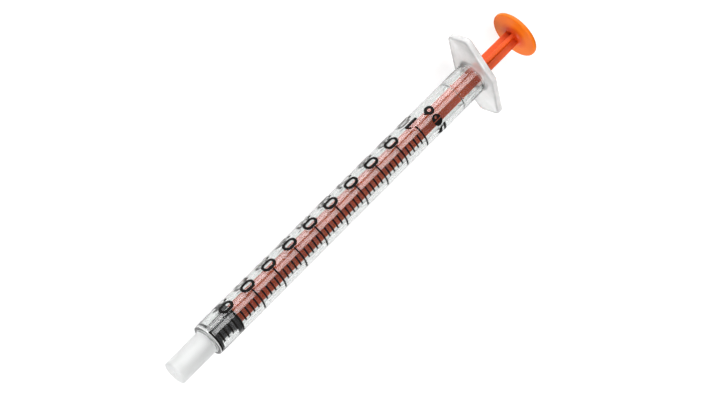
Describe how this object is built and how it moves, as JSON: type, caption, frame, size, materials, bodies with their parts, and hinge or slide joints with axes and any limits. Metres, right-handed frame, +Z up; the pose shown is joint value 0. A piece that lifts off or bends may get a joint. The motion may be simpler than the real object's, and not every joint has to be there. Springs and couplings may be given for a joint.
{
  "type": "oral syringe",
  "caption": "Oral medicine syringe: clear graduated barrel with slip nozzle and finger flange, cruciform plunger rod with thumb disc, and a rubber piston.",
  "frame": {"origin": "under the middle of the whole length, on the surface the syringe lies on", "axes": "+X from the nozzle to the thumb disc, +Z up with the scale facing up, +Y toward the side the numerals run to"},
  "size_m": [0.0952, 0.0188, 0.0102],
  "materials": {
    "clear_polypropylene": "gloss",
    "black_rubber": "matte",
    "orange_plastic": "satin",
    "black_ink": "matte"
  },
  "bodies": {
    "barrel": {"barrel": "clear_polypropylene", "scale_major_lines": "black_ink", "scale_minor_lines": "black_ink", "scale_numerals": "black_ink", "printed_mark": "black_ink"},
    "piston": {"piston": "black_rubber"},
    "plunger_rod": {"plunger_rod": "orange_plastic"}
  },
  "joints": [
    {"name": "plunger_slide", "type": "slide", "parent": "barrel", "child": "piston", "axis": [1, 0, 0], "range_m": [0, 0.0606]},
    {"name": "plunger_twist", "type": "hinge", "parent": "piston", "child": "plunger_rod", "pos_m": [0, 0, 0.00508], "axis": [1, 0, 0], "continuous": true}
  ]
}
